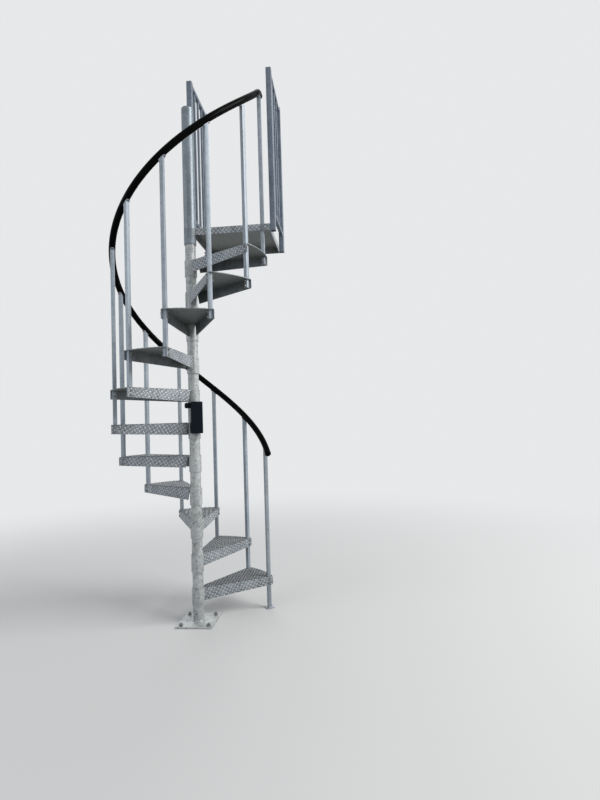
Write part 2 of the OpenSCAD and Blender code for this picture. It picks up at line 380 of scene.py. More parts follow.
def ripples(frames):
    """The same frames swelling and shrinking a little, as a weld bead does."""
    return [frame @ Matrix.Scale((BEAD_DIP if k % 2 else 1.0) + rng.uniform(-BEAD_WANDER, BEAD_WANDER), 4)
            for k, frame in enumerate(frames)]


def collar(bm, matrix, half, leg=FILLET):
    """Fillet weld round a square tube of half width half that stands on matrix."""
    turn = matrix @ Matrix.Rotation(math.pi / 4, 4, "Z") @ Matrix.Translation((0, 0, leg / 2 - FILLET_SINK))
    bmesh.ops.create_cone(bm, cap_ends=True, segments=4, radius1=(half + leg) * math.sqrt(2),
                          radius2=(half + FILLET_RIM) * math.sqrt(2), depth=leg, matrix=turn)


def rail_height(angle):
    """Height of the middle of the handrail, which levels out over its last part."""
    past = max(0.0, angle - RAIL_BEND)
    return (angle - past ** 2 / (2 * RAIL_LEVEL)) / STEP * RISER + RAIL_MID


def rail_pitch(angle):
    """Slope of the handrail."""
    past = max(0.0, angle - RAIL_BEND)
    return math.atan2(RISER / STEP * (1 - past / RAIL_LEVEL), RAIL_R)


def rail_frame(angle):
    """Frame on the middle of the handrail, +Z up along the rail."""
    return place(angle, rail_height(angle)) @ Matrix.Translation((RAIL_R, 0, 0)) \
        @ Matrix.Rotation(rail_pitch(angle) - math.pi / 2, 4, "X")


# Node helpers

class Nodes:
    """Short way to add and join nodes in one tree; most methods give what their node puts out."""

    def __init__(self, tree):
        self.tree = tree
        tree.nodes.clear()

    def put(self, value, socket):
        """Joins a socket to another one, or sets its value; a colour may leave out its fourth number."""
        if isinstance(value, bpy.types.NodeSocket):
            self.tree.links.new(value, socket)
        else:
            socket.default_value = (*value, 1) if socket.type == "RGBA" and len(value) == 3 else value

    def add(self, kind, settings=None, **inputs):
        """New node; i0, i1 and so on are inputs by number, all others go by name."""
        made = self.tree.nodes.new(kind)
        for key, value in (settings or {}).items():
            setattr(made, key, value)
        for key, value in inputs.items():
            self.put(value, made.inputs[int(key[1:]) if key[1:].isdigit() else key.replace("_", " ")])
        return made

    def math(self, operation, a, b=0.0):
        return self.add("ShaderNodeMath", {"operation": operation}, i0=a, i1=b).outputs[0]

    def times(self, a, b):
        return self.math("MULTIPLY", a, b)

    def vector(self, operation, output="Vector", **inputs):
        return self.add("ShaderNodeVectorMath", {"operation": operation}, **inputs).outputs[output]

    def mix(self, factor, a, b):
        return self.add("ShaderNodeMix", {"data_type": "RGBA"}, i0=factor, i6=a, i7=b).outputs[2]

    def remap(self, value, low, high, to_low=0.0, to_high=1.0, curve="LINEAR"):
        return self.add("ShaderNodeMapRange", {"interpolation_type": curve}, i0=value, i1=low, i2=high,
                        i3=to_low, i4=to_high).outputs[0]

    def ramp(self, value, stops):
        made = self.add("ShaderNodeValToRGB", i0=value)
        elements = made.color_ramp.elements
        while len(elements) < len(stops):
            elements.new(0.5)
        for element, (at, colour) in zip(elements, stops):
            element.position = at
            element.color = (*colour, 1)
        return made.outputs["Color"]

    def noise(self, where, scale, detail, rough=0.5):
        return self.add("ShaderNodeTexNoise", Vector=where, Scale=scale, Detail=detail,
                        Roughness=rough).outputs["Fac"]

    def bump(self, height, strength, distance):
        return self.add("ShaderNodeBump", Strength=strength, Distance=distance,
                        Height=height).outputs["Normal"]

    def group(self, tree, **inputs):
        return self.add("ShaderNodeGroup", {"node_tree": tree}, **inputs).outputs

    def surface(self, **inputs):
        """Principled shader, joined to the output of the material."""
        shader = self.add("ShaderNodeBsdfPrincipled", **inputs)
        self.add("ShaderNodeOutputMaterial", Surface=shader.outputs[0])


def new_material(name):
    """Empty material, its nodes, and the object coordinates that its textures follow."""
    material = bpy.data.materials.new(name)
    material.use_nodes = True
    net = Nodes(material.node_tree)
    return material, net, net.add("ShaderNodeTexCoord").outputs["Object"]


def new_group(name, inputs, outputs):
    """Node group with inputs (None for a vector) and outputs: its nodes and the sockets of both ends."""
    tree = bpy.data.node_groups.new(name, "ShaderNodeTree")
    for label, value in inputs.items():
        kind = "NodeSocketVector" if value is None else "NodeSocketFloat"
        socket = tree.interface.new_socket(label, in_out="INPUT", socket_type=kind)
        if value is not None:
            socket.default_value = value
    for label in outputs:
        tree.interface.new_socket(label, in_out="OUTPUT", socket_type="NodeSocketFloat")
    net = Nodes(tree)
    return net, net.add("NodeGroupInput").outputs, net.add("NodeGroupOutput").inputs


def spangle_group():
    """Crystals of a hot zinc coat: each cell has its own grey and its own gloss."""
    net, given, out = new_group("zinc spangle", {"Vector": None, "Cell Size": 0.012},
                                ("Cell", "Grain", "Height"))
    count = net.math("DIVIDE", 1.0, given["Cell Size"])
    bend = net.add("ShaderNodeTexNoise", Vector=given["Vector"], Scale=net.times(count, 0.7), Detail=3.0)
    shift = net.vector("SCALE", i0=bend.outputs["Color"], Scale=0.010)
    moved = net.vector("ADD", i0=given["Vector"], i1=shift)
    cells = net.add("ShaderNodeTexVoronoi", Vector=moved, Scale=count)
    shade = net.add("ShaderNodeSeparateColor", Color=cells.outputs["Color"]).outputs
    fine = net.noise(given["Vector"], net.times(count, 5.0), 4.0, 0.7)
    net.put(shade[0], out["Cell"])
    net.put(fine, out["Grain"])
    net.put(net.math("ADD", net.times(shade[1], 0.35), net.times(fine, 0.65)), out["Height"])
    return net.tree


def weather_group():
    """White bloom in soft clouds, dirt in streaks that run down, and small dark specks."""
    net, given, out = new_group(
        "outdoor weathering",
        {"Vector": None, "Cloud Size": 0.09, "Streak Stretch": 0.12, "Speck Size": 0.015},
        ("Bloom", "Dirt", "Specks"))
    count = net.math("DIVIDE", 1.0, given["Cloud Size"])
    cloud = net.noise(given["Vector"], count, 6.0, 0.62)
    squeeze = net.add("ShaderNodeCombineXYZ", X=1.0, Y=1.0, Z=given["Streak Stretch"])
    run = net.vector("MULTIPLY", i0=given["Vector"], i1=squeeze.outputs["Vector"])
    streak = net.noise(run, net.times(count, 3.2), 5.0, 0.6)
    spots = net.noise(given["Vector"], net.math("DIVIDE", 1.0, given["Speck Size"]), 2.0, 0.6)
    net.put(net.remap(cloud, 0.44, 0.66), out["Bloom"])
    net.put(net.remap(streak, 0.52, 0.72), out["Dirt"])
    net.put(net.remap(spots, 0.62, 0.68), out["Specks"])
    return net.tree


def edge_group():
    """Mask of the corners of a piece, which are lightened partly as rubbed wear and partly as painted
    highlight.
    """
    net, given, out = new_group("rubbed and highlit edges", {"Width": 0.0015}, ("Mask",))
    rounded = net.add("ShaderNodeBevel", {"samples": 4}, Radius=given["Width"]).outputs["Normal"]
    flat = net.add("ShaderNodeNewGeometry").outputs["Normal"]
    together = net.vector("DOT_PRODUCT", "Value", i0=rounded, i1=flat)
    net.put(net.remap(together, 0.97, 0.80), out["Mask"])
    return net.tree


def place_group():
    """Masks of the round steel near the pole axis, of undersides and of tops; the last two carry painted
    shade.
    """
    net, given, out = new_group("hub, underside and top", {"Vector": None, "Hub Radius": 0.0432},
                                ("Hub", "Under", "Top"))
    flat = net.vector("MULTIPLY", i0=given["Vector"], i1=(1.0, 1.0, 0.0))
    radius = net.vector("LENGTH", "Value", i0=flat)
    normal = net.add("ShaderNodeNewGeometry").outputs["True Normal"]
    upward = net.add("ShaderNodeSeparateXYZ", i0=normal).outputs["Z"]
    net.put(net.math("LESS_THAN", radius, given["Hub Radius"]), out["Hub"])
    net.put(net.remap(upward, -0.45, -0.85), out["Under"])
    net.put(net.remap(upward, 0.35, 0.70), out["Top"])
    return net.tree


def shelter_group():
    """Mask of the faces that look into a fold or under the plate, which are darkened there as painted
    shade.
    """
    net, given, out = new_group("painted shade in folds", {"Reach": 0.12}, ("Mask",))
    open_sky = net.add("ShaderNodeAmbientOcclusion", {"samples": 8, "only_local": True},
                       Distance=given["Reach"])
    net.put(net.remap(open_sky.outputs["AO"], 0.80, 0.52), out["Mask"])
    return net.tree


# Materials

SPANGLE = spangle_group()
WEATHER = weather_group()
RUBBED_AND_HIGHLIT_EDGES = edge_group()
PLACES = place_group()
SHELTER = shelter_group()
SPECK = (0.045, 0.038, 0.032)
# Colour of the corners: partly rubbed zinc, partly painted highlight
HIGHLIT_WORN_ZINC = (0.80, 0.82, 0.84)


def zinc_steel(name, dark, light, bloom_colour, dirt_colour, cell, bloom, dirt, cloud=0.09, streak=0.12,
               specks=0.3, rough=(0.44, 0.64), metal=0.28, hub=None, under=None, top=None):
    """Galvanised steel: spangled grey, white bloom, dirt in streaks, dark specks, and corners lightened as
    rubbed wear and painted highlight.

    hub is a second set of greys for the round steel at the pole, under and top are the painted shade
    colours of undersides and folds and of tops, and a top is dull as well."""
    material, net, where = new_material(name)
    spangle = net.group(SPANGLE, Vector=where, Cell_Size=cell)
    weather = net.group(WEATHER, Vector=where, Cloud_Size=cloud, Streak_Stretch=streak)
    edges = net.group(RUBBED_AND_HIGHLIT_EDGES, Width=0.0016)
    shade = net.math("ADD", net.times(spangle["Cell"], 0.42), net.times(spangle["Grain"], 0.58))
    clouded = net.times(weather["Bloom"], bloom)
    tone = net.mix(clouded, net.mix(shade, dark, light), bloom_colour)
    gloss = net.remap(net.math("ADD", shade, net.times(weather["Bloom"], 0.5)), 0.2, 1.3, *rough)
    if hub:
        places = net.group(PLACES, Vector=where)
        sheltered = net.group(SHELTER, Reach=0.12)
        # Painted shade: undersides and faces in folds darken towards under, and tops towards top
        painted_shade_mask = net.math("MAXIMUM", places["Under"], sheltered["Mask"])
        shaded = net.mix(net.times(painted_shade_mask, 0.8), tone, under)
        shaded_tops = net.mix(net.times(places["Top"], 0.82), shaded, top)
        pipe = net.mix(clouded, net.mix(shade, *hub[:2]), hub[2])
        tone = net.mix(places["Hub"], shaded_tops, pipe)
        metal = net.remap(places["Top"], 0.0, 1.0, metal, metal * 0.2)
        gloss = net.math("ADD", gloss, net.times(places["Top"], 0.30))
    dirty = net.mix(net.times(weather["Dirt"], dirt), tone, dirt_colour)
    speckled = net.mix(net.times(weather["Specks"], specks), dirty, SPECK)
    # Corners lightened, partly as rubbed wear and partly as painted highlight
    worn_and_highlit = net.mix(net.times(edges["Mask"], 0.5), speckled, HIGHLIT_WORN_ZINC)
    net.surface(Base_Color=worn_and_highlit, Roughness=gloss, Metallic=metal, Specular_IOR_Level=0.35 if hub else 0.5,
                Normal=net.bump(spangle["Height"], 0.12, 0.0008))
    return material


def dark_steel(name):
    """Zinc-plated fastener that has gone dull, with grime in blotches, and corners lightened partly as
    rubbed wear and partly as painted highlight.
    """
    material, net, where = new_material(name)
    blot = net.noise(where, 180.0, 4.0)
    grime = net.mix(net.remap(blot, 0.35, 0.7, 0.0, 0.8), (0.30, 0.31, 0.32), (0.055, 0.048, 0.042))
    edges = net.group(RUBBED_AND_HIGHLIT_EDGES, Width=0.0010)
    # Corners lightened, partly as rubbed wear and partly as painted highlight
    worn_and_highlit = net.mix(net.times(edges["Mask"], 0.45), grime, (0.45, 0.46, 0.47))
    net.surface(Base_Color=worn_and_highlit, Roughness=net.remap(blot, 0.3, 0.7, 0.30, 0.53), Metallic=0.85)
    return material


def weld_steel(name):
    """Weld metal under zinc: ripples, with a heat-stained grey."""
    material, net, where = new_material(name)
    tone = net.ramp(net.noise(where, 90.0, 5.0),
                    [(0.30, (0.30, 0.31, 0.32)), (0.55, (0.50, 0.51, 0.52)), (0.75, (0.66, 0.68, 0.69))])
    net.surface(Base_Color=tone, Roughness=0.5, Metallic=0.7,
                Normal=net.bump(net.noise(where, 420.0, 2.0), 0.4, 0.0006))
    return material


def rail_vinyl(name):
    """Black vinyl with a hand-polished gloss, faint scuffs and dust."""
    material, net, where = new_material(name)
    patch = net.noise(where, 14.0, 5.0, 0.6)
    dust = net.remap(patch, 0.50, 0.80, 0.0, 0.5)
    net.surface(Base_Color=net.mix(dust, (0.003, 0.003, 0.0033), (0.010, 0.0098, 0.0095)),
                Roughness=net.remap(patch, 0.35, 0.75, 0.08, 0.18), Specular_IOR_Level=0.02,
                Normal=net.bump(net.noise(where, 260.0, 3.0), 0.08, 0.0006))
    return material


def box_enamel(name):
    """Blue-black enamel of the small box, with dust, fine orange peel, and corners lightened partly as
    rubbed wear and partly as painted highlight.
    """
    material, net, where = new_material(name)
    patch = net.noise(where, 22.0, 6.0, 0.65)
    dust = net.remap(patch, 0.48, 0.78, 0.0, 0.35)
    dusty = net.mix(dust, (0.003, 0.0065, 0.012), (0.014, 0.021, 0.030))
    edges = net.group(RUBBED_AND_HIGHLIT_EDGES, Width=0.0012)
    # Corners lightened, partly as rubbed wear and partly as painted highlight
    net.surface(Base_Color=net.mix(net.times(edges["Mask"], 0.30), dusty, (0.06, 0.07, 0.08)),
                Roughness=net.remap(patch, 0.35, 0.75, 0.16, 0.34), Specular_IOR_Level=0.10,
                Normal=net.bump(net.noise(where, 900.0, 1.0), 0.05, 0.0003))
    return material


# Dark grey, light grey and bloom of the bare pole and of the sleeve; the sleeve's are darker as weathered
# steel and tinted blue as a painted sky reflection
PIPE_GREYS = ((0.28, 0.30, 0.305), (0.55, 0.58, 0.59), (0.65, 0.68, 0.69))
SKY_TINTED_SLEEVE_GREYS = ((0.13, 0.155, 0.18), (0.25, 0.295, 0.34), (0.33, 0.38, 0.43))


def plate_steel(name, hub):
    """Tread plate whose hub has greys of its own."""
    # under is a painted shade tinted olive as a painted ground reflection, and top a darker painted shade
    return zinc_steel(name, (0.13, 0.15, 0.17), (0.30, 0.335, 0.37), (0.42, 0.46, 0.50),
                      (0.085, 0.08, 0.07), cell=0.014, bloom=0.5, dirt=0.45, specks=0.6, hub=hub,
                      under=(0.140, 0.155, 0.142), top=(0.038, 0.041, 0.045))


PLATE = plate_steel("galvanised tread plate", PIPE_GREYS)
# The landing's hub takes the sleeve greys, with their painted sky blue
LANDING_PLATE = plate_steel("galvanised landing plate", SKY_TINTED_SLEEVE_GREYS)
# Lighter than the plate, partly as polished wear and partly as painted highlight; its under and top colours
# are painted shade
LOZENGE = zinc_steel("worn lozenge tops", (0.40, 0.43, 0.46), (0.67, 0.71, 0.75), (0.74, 0.78, 0.82),
                     (0.20, 0.20, 0.185), cell=0.010, bloom=0.5, dirt=0.4, rough=(0.34, 0.54),
                     hub=PIPE_GREYS, under=(0.24, 0.24, 0.24), top=(0.110, 0.116, 0.122))
PIPE = zinc_steel("galvanised pole", *PIPE_GREYS, (0.11, 0.09, 0.07), cell=0.016,
                  cloud=0.055, streak=0.5, bloom=0.6, dirt=0.7, specks=0.75)
# Sleeve greys: darker as weathered steel, blue as a painted sky reflection
SLEEVE = zinc_steel("weathered newel sleeve with painted sky blue", *SKY_TINTED_SLEEVE_GREYS, (0.12, 0.12, 0.115), cell=0.016,
                    cloud=0.14, streak=0.05, bloom=0.4, dirt=0.3, rough=(0.32, 0.48), metal=0.4)
TUBES = zinc_steel("galvanised baluster tube", (0.23, 0.27, 0.31), (0.39, 0.45, 0.515),
                   (0.51, 0.57, 0.63), (0.15, 0.15, 0.14), cell=0.010, cloud=0.15, streak=0.06,
                   bloom=0.45, dirt=0.35)
# The balusters' galvanised steel made darker and bluer, as painted shade and painted sky reflection
POSTS = zinc_steel("galvanised guard tube in painted shade", (0.078, 0.10, 0.135), (0.185, 0.226, 0.285),
                   (0.295, 0.342, 0.40), (0.07, 0.075, 0.085), cell=0.014, cloud=0.16, streak=0.06,
                   bloom=0.4, dirt=0.3, rough=(0.36, 0.54), metal=0.35)
BOLTS = dark_steel("dull fastener steel")
WELDS = weld_steel("zinc coated weld")
VINYL = rail_vinyl("black rail vinyl")
ENAMEL = box_enamel("blue black box enamel")

# Finish of each CAD node by the start of its name; the pole and its base plate are the rest
FINISHES = {"tread": PLATE, "landing": LANDING_PLATE, "baluster": TUBES, "guard": POSTS, "handrail": VINYL,
            "pole_box": ENAMEL, "newel_sleeve": SLEEVE, "pole_cap": SLEEVE}


# Raised pattern of the treads and the landing

def lozenge_shape(bm):
    """Low lens: a long ellipse drawn to points, raised in two steps."""
    made = bmesh.ops.create_circle(bm, cap_ends=True, segments=10, radius=1)
    for v in made["verts"]:
        narrow = 1 - LOZENGE_POINT * abs(v.co.x)
        v.co = (v.co.x * LOZENGE_L / 2, v.co.y * LOZENGE_W / 2 * narrow, -LOZENGE_SINK)
    top = list(bm.faces)
    for height, shorter, narrower in LOZENGE_STEPS:
        lifted = bmesh.ops.extrude_face_region(bm, geom=top)["geom"]
        top = [g for g in lifted if isinstance(g, bmesh.types.BMFace)]
        for v in lifted:
            if isinstance(v, bmesh.types.BMVert):
                v.co = (v.co.x * shorter, v.co.y * narrower, LOZENGE_H * height)


LOZENGE_MESH = template(lozenge_shape, "lozenge")


def lay_lozenge(bm, spot, angle, cuts):
    """Adds a lozenge at a spot of the flat sheet, cut off at each plane (point, outward)."""
    one = bmesh.new()
    set_down(one, LOZENGE_MESH, Matrix.Translation(spot) @ Matrix.Rotation(angle, 4, "Z"))
    for point, outward in cuts:
        sides = [(v.co - point).dot(outward) for v in one.verts]
        if min(sides) >= -SLIVER and max(sides) > 0:
            one.free()
            return
        if max(sides) > 0:
            cut_off(one, point, outward)
    mesh = to_mesh("passing", one)
    bm.from_mesh(mesh)
    bpy.data.meshes.remove(mesh)


def lattice(low, high, turn, offset):
    """Centres and directions of the lozenges over a flat rectangle: each lies across its neighbours."""
    reach = max(abs(v) for v in (*low, *high)) * DIAGONAL
    count = int(reach / LOZENGE_PITCH) + 1
    for i in range(-count, count + 1):
        for j in range(-count, count + 1):
            spot = Vector(((i + offset[0]) * LOZENGE_PITCH, (j + offset[1]) * LOZENGE_PITCH, 0))
            spot.rotate(Matrix.Rotation(turn, 3, "Z"))
            if low[0] < spot.x < high[0] and low[1] < spot.y < high[1]:
                yield spot, turn + (math.pi / 2 if (i + j) % 2 else 0)


def fold_down(v, start, outward):
    """Wraps a point of the flat sheet round a downward bend that begins at start along outward."""
    past = v.co.xy.dot(outward) - start
    if past <= 0:
        return
    height = v.co.z
    base = v.co.xy - outward * past
    turn = min(past / BEND_R, math.pi / 2)
    down = max(past - BEND_R * math.pi / 2, 0)
    v.co.xy = base + outward * (BEND_R + height) * math.sin(turn)
    v.co.z = (BEND_R + height) * math.cos(turn) - BEND_R - down


def past_hole(spot, centre, half):
    """Plane that keeps a lozenge off a square hole, or None if its middle is inside."""
    away = spot - centre
    for axis in (Vector((1, 0, 0)), Vector((0, 1, 0))):
        for sign in (1, -1):
            if away.dot(axis) * sign > half:
                return centre + axis * sign * half, axis * -sign
    return None


def hole_cuts(spot, holes):
    """Planes that keep a lozenge off the holes near it, with None for a hole that its middle is in."""
    cuts = []
    for centre, half, angle in holes:
        if (spot - centre).length < half * DIAGONAL + LOZENGE_L / 2:
            turned = Matrix.Rotation(-angle, 3, "Z")
            cut = past_hole(turned @ spot, turned @ centre, half)
            cuts.append(cut and tuple(turned.inverted() @ part for part in cut))
    return cuts


def flange_cuts(along, outward, in_front):
    """Planes that keep a lozenge on a flange: off its lower edge, its tip and its end at the hub."""
    fall = math.atan2(FLANGE_HUB - FLANGE_TIP, TREAD_R - HUB_R)
    lower = outward * (EDGE + FLANGE_HUB + BEND_EXTRA - EDGE_CLEAR) + along * HUB_R
    tip = along * (math.sqrt(TREAD_R ** 2 - EDGE ** 2) - EDGE_CLEAR)
    cuts = [(lower, (outward * math.cos(fall) + along * math.sin(fall)).normalized()), (tip, along)]
    if in_front:
        cuts.append((along * (HUB_R + HUB_CLEAR / 2), -along))
    else:
        slant = math.atan2(RELIEF_LOW - RELIEF_TOP, FLANGE_HUB - PLATE_T - BEND_R)
        relief = along * (HUB_R + RELIEF_TOP + EDGE_CLEAR) + outward * (EDGE + PLATE_T + BEND_EXTRA)
        cuts.append((relief, (-along * math.cos(slant) + outward * math.sin(slant)).normalized()))
    return cuts


def tread_pattern(i):
    """Lozenges of one tread, laid on the flat sheet and then folded down at both long edges."""
    bm = bmesh.new()
    front, front_out = Vector((1, 0, 0)), Vector((0, -1, 0))
    back = Vector((math.cos(STEP), math.sin(STEP), 0))
    back_out = Vector((-math.sin(STEP), math.cos(STEP), 0))
    holes = [(front * TUBE_R, TUBE_HOLE, 0), (back * TUBE_R, TUBE_HOLE, STEP)]
    for drop in BOLT_DROPS:
        for along, outward, angle in ((front, front_out, 0), (back, back_out, STEP)):
            holes.append((along * TUBE_R + outward * (EDGE + drop + BEND_EXTRA), WASHER_HOLE, angle))
    offset = (rng.random(), rng.random())
    turn = STEP / 2 + math.pi / 4 + rng.uniform(-SWAY, SWAY)
    for spot, angle in lattice((0, -EDGE - FLANGE_HUB), (TREAD_R, TREAD_R), turn, offset):
        if spot.dot(front_out) > EDGE - BEND_R:
            cuts = flange_cuts(front, front_out, True)
        elif spot.dot(back_out) > EDGE - BEND_R:
            cuts = flange_cuts(back, back_out, False)
        elif HUB_R - LOZENGE_L <= spot.length <= TREAD_R + LOZENGE_L:
            outward = spot.normalized()
            cuts = [(outward * (TREAD_R - EDGE_CLEAR), outward), (outward * (HUB_R + HUB_CLEAR), -outward)]
        else:
            continue
        around_holes = hole_cuts(spot, holes)
        if None not in around_holes:
            lay_lozenge(bm, spot, angle, cuts + around_holes)
    for v in bm.verts:
        fold_down(v, EDGE - BEND_R, front_out.xy)
        fold_down(v, EDGE - BEND_R, back_out.xy)
    bmesh.ops.transform(bm, matrix=place(i * STEP, i * RISER), verts=bm.verts)
    finish_piece(f"tread_{i:02d}_lozenges", bm, LOZENGE, sharp=50)


def landing_pattern():
    """Lozenges of the landing, folded down at its front and both sides."""
    bm = bmesh.new()
    x, y = Vector((1, 0, 0)), Vector((0, 1, 0))
    drop = LAND_EDGE + BEND_EXTRA - EDGE_CLEAR
    low = (LAND_IN - drop, -EDGE - drop)
    high = (LAND_OUT + drop, LAND_BACK)
    edges = [(x * low[0], -x), (x * high[0], x), (y * low[1], -y), (y * (LAND_BACK - EDGE_CLEAR), y)]
    holes = [(x * TUBE_R, TUBE_HOLE, 0)]
    holes += [(x * TUBE_R - y * (EDGE + at + BEND_EXTRA), WASHER_HOLE, 0) for at in LAND_BOLT_DROPS]
    for spot, angle in lattice(low, high, LAND_TURN, LAND_OFFSET):
        over_side = spot.x < LAND_IN + BEND_R or spot.x > LAND_OUT - BEND_R
        over_front = spot.y < BEND_R - EDGE
        if over_side and over_front or spot.length < HUB_R + LOZENGE_L / 2:
            continue
        cuts = list(edges)
        if over_side:
            cuts.append((y * (BEND_R - EDGE), -y))
        if over_front:
            cuts += [(x * (LAND_IN + BEND_R), -x), (x * (LAND_OUT - BEND_R), x)]
        around_holes = hole_cuts(spot, holes)
        if None not in around_holes:
            lay_lozenge(bm, spot, angle, cuts + around_holes)
    for v in bm.verts:
        fold_down(v, EDGE - BEND_R, -y.xy)
        fold_down(v, LAND_OUT - BEND_R, x.xy)
        fold_down(v, -LAND_IN - BEND_R, -x.xy)
    bmesh.ops.transform(bm, matrix=Matrix.Translation((0, 0, LAND_Z)), verts=bm.verts)
    finish_piece("landing_lozenges", bm, LOZENGE, sharp=50)


# Fasteners

def bolt_shape(bm, height=HEAD_H):
    """Washer and hexagon head, standing on z = 0."""
    disc(bm, WASHER_R, WASHER_T, segments=20, bevel=0.0004)
    disc(bm, HEX_R, height, segments=6, bevel=0.0009, base=HEX_BASE)


def nut_shape(bm):
    """Washer, nut and the end of the bolt, standing on z = 0."""
    bolt_shape(bm, NUT_H)
    disc(bm, STUD_R, STUD_H, segments=14, bevel=0.0008, base=STUD_BASE)


def socket_shape(bm):
    """Set screw with a round recess, its face at z = 0."""
    disc(bm, SOCKET_R, SOCKET_L, segments=18, bevel=0.0006, base=-SOCKET_L)
    top = max(bm.verts, key=lambda v: v.co.z)
    face = max(top.link_faces, key=lambda f: f.normal.z * f.calc_area())
    bmesh.ops.inset_region(bm, faces=[face], thickness=RECESS_WALL, use_even_offset=True)
    bmesh.ops.translate(bm, verts=list(face.verts), vec=(0, 0, -RECESS_DEPTH))


def screw_shape(bm):
    """Low round head of a rail screw."""
    disc(bm, SCREW_R, SCREW_H, segments=16, bevel=0.0010)


BOLT_MESH = template(bolt_shape, "bolt")
NUT_MESH = template(nut_shape, "nut")
SOCKET_MESH = template(socket_shape, "socket")
SCREW_MESH = template(screw_shape, "screw")


def spun():
    """Turn in which a fastener happens to stand."""
    return Matrix.Rotation(rng.uniform(0, 1), 4, "Z")


def set_screws(base, drop):
    """Frames of the set screws of one hub."""
    outs = [Vector((math.cos(angle), math.sin(angle), 0)) for angle in SET_ANGLES]
    return [base @ facing(out * (HUB_R - SET_SEAT) + Vector((0, 0, -drop)), out) for out in outs]


def tread_bolts(i):
    """Two bolts through each flange and baluster, with nuts inside, and the set screws of the hub."""
    bm = bmesh.new()
    spots = []
    front = place(i * STEP, i * RISER)
    back = place((i + 1) * STEP, i * RISER)
    for drop in BOLT_DROPS:
        for base, side in ((front, -1), (back, 1)):
            spots.append((BOLT_MESH, base @ facing((TUBE_R, side * EDGE, -drop), (0, side, 0))))
            spots.append((NUT_MESH, base @ facing((TUBE_R, -side * TUBE / 2, -drop), (0, -side, 0))))
    spots += [(SOCKET_MESH, matrix) for matrix in set_screws(front, SET_DROP)]
    for mesh, matrix in spots:
        set_down(bm, mesh, matrix @ spun())
    finish_piece(f"tread_{i:02d}_bolts", bm, BOLTS)


def landing_bolts():
    """Bolts of the last baluster, the guard posts and the deck side, and the set screws of the hub."""
    bm = bmesh.new()
    base = Matrix.Translation((0, 0, LAND_Z))
    spots = []
    for drop in LAND_BOLT_DROPS:
        spots.append((BOLT_MESH, 1.0, (TUBE_R, -EDGE, -drop), (0, -1, 0)))
        spots.append((NUT_MESH, 1.0, (TUBE_R, TUBE / 2, -drop), (0, 1, 0)))
        for y in (HUB_R + HUB_GAP + POST / 2, LAND_BACK - POST / 2):
            spots.append((BOLT_MESH, GUARD_BOLT, (LAND_IN + PLATE_T, y, -drop), (1, 0, 0)))
            spots.append((NUT_MESH, GUARD_BOLT, (LAND_IN - POST, y, -drop), (-1, 0, 0)))
        for y in (POST / 2 - EDGE + GUARD_BOLT_IN, LAND_BACK - POST / 2):
            spots.append((NUT_MESH, GUARD_BOLT, (LAND_OUT - PLATE_T, y, -drop), (-1, 0, 0)))
    middle = (LAND_IN + LAND_OUT) / 2
    for x in (middle - DECK_PITCH / 2, middle + DECK_PITCH / 2):
        spots.append((BOLT_MESH, DECK_BOLT, (x, LAND_BACK - PLATE_T, -LAND_EDGE / 2), (0, -1, 0)))
    for mesh, size, at, outward in spots:
        set_down(bm, mesh, base @ facing(at, outward) @ spun() @ Matrix.Scale(size, 4))
    for matrix in set_screws(base, LAND_SET_DROP):
        set_down(bm, SOCKET_MESH, matrix)
    finish_piece("landing_bolts", bm, BOLTS)


def rail_screws():
    """Screws up through the baluster plates into the handrail."""
    bm = bmesh.new()
    for i in range(1, TREADS + 2):
        angle = i * STEP
        under = rail_height(angle) - RAIL_D / 2 / math.cos(rail_pitch(angle))
        plate = place(angle, under) @ Matrix.Translation((TUBE_R, 0, 0)) \
            @ Matrix.Rotation(rail_pitch(angle), 4, "X")
        for side in (-1, 1):
            set_down(bm, SCREW_MESH, plate @ facing((0, side * TAB_SCREW, -PLATE_T), (0, 0, -1)))
    finish_piece("rail_screws", bm, BOLTS)


def foot_frame():
    """Frame on top of the foot of the first baluster."""
    return place(STEP, FOOT_T) @ Matrix.Translation((TUBE_R, 0, 0))


def floor_fasteners():
    """Anchors of the base plate, and the lag screws of the first baluster's foot."""
    bm = bmesh.new()
    for x in (-ANCHOR, ANCHOR):
        for y in (-ANCHOR, ANCHOR):
            corner = Matrix.Translation((x, y, BASE_T))
            set_down(bm, NUT_MESH, corner @ spun() @ Matrix.Scale(ANCHOR_BOLT, 4))
    for side in (-FOOT_HOLE, FOOT_HOLE):
        corner = foot_frame() @ Matrix.Translation((side, side, 0))
        set_down(bm, BOLT_MESH, corner @ spun() @ Matrix.Scale(FOOT_BOLT, 4))
    finish_piece("floor_fasteners", bm, BOLTS)


# Welds

def down_bead(bm, base, x, y, count):
    """Bead down the corner between a flange and its hub."""
    down = Matrix.Rotation(math.pi, 4, "X")
    frames = [base @ Matrix.Translation((x, y, -BEAD_START - BEAD_PITCH * k)) @ down for k in range(count)]
    sweep(bm, ripples(frames), BEAD_DOWN_R)


def hub_welds(bm, base, from_angle, to_angle, flange_depth):
    """Beads between a hub and its plate, above and below, and down the front flange."""
    span = to_angle - from_angle
    steps = int(span * HUB_R / BEAD_PITCH)
    turns = [from_angle + span * k / steps for k in range(steps + 1)]
    for out, z, radius in ((0, -BEAD_LOW, BEAD_TOP_R), (UNDER_OFF, -PLATE_T - UNDER_OFF, BEAD_UNDER_R)):
        sweep(bm, ripples([base @ around(a, HUB_R + out, z) for a in turns]), radius)
    x = math.sqrt(HUB_R ** 2 - EDGE ** 2)
    count = int((flange_depth - BEAD_END) / BEAD_PITCH)
    down_bead(bm, base, x + DOWN_OFF_HUB, -EDGE - DOWN_OFF_FLANGE, count)


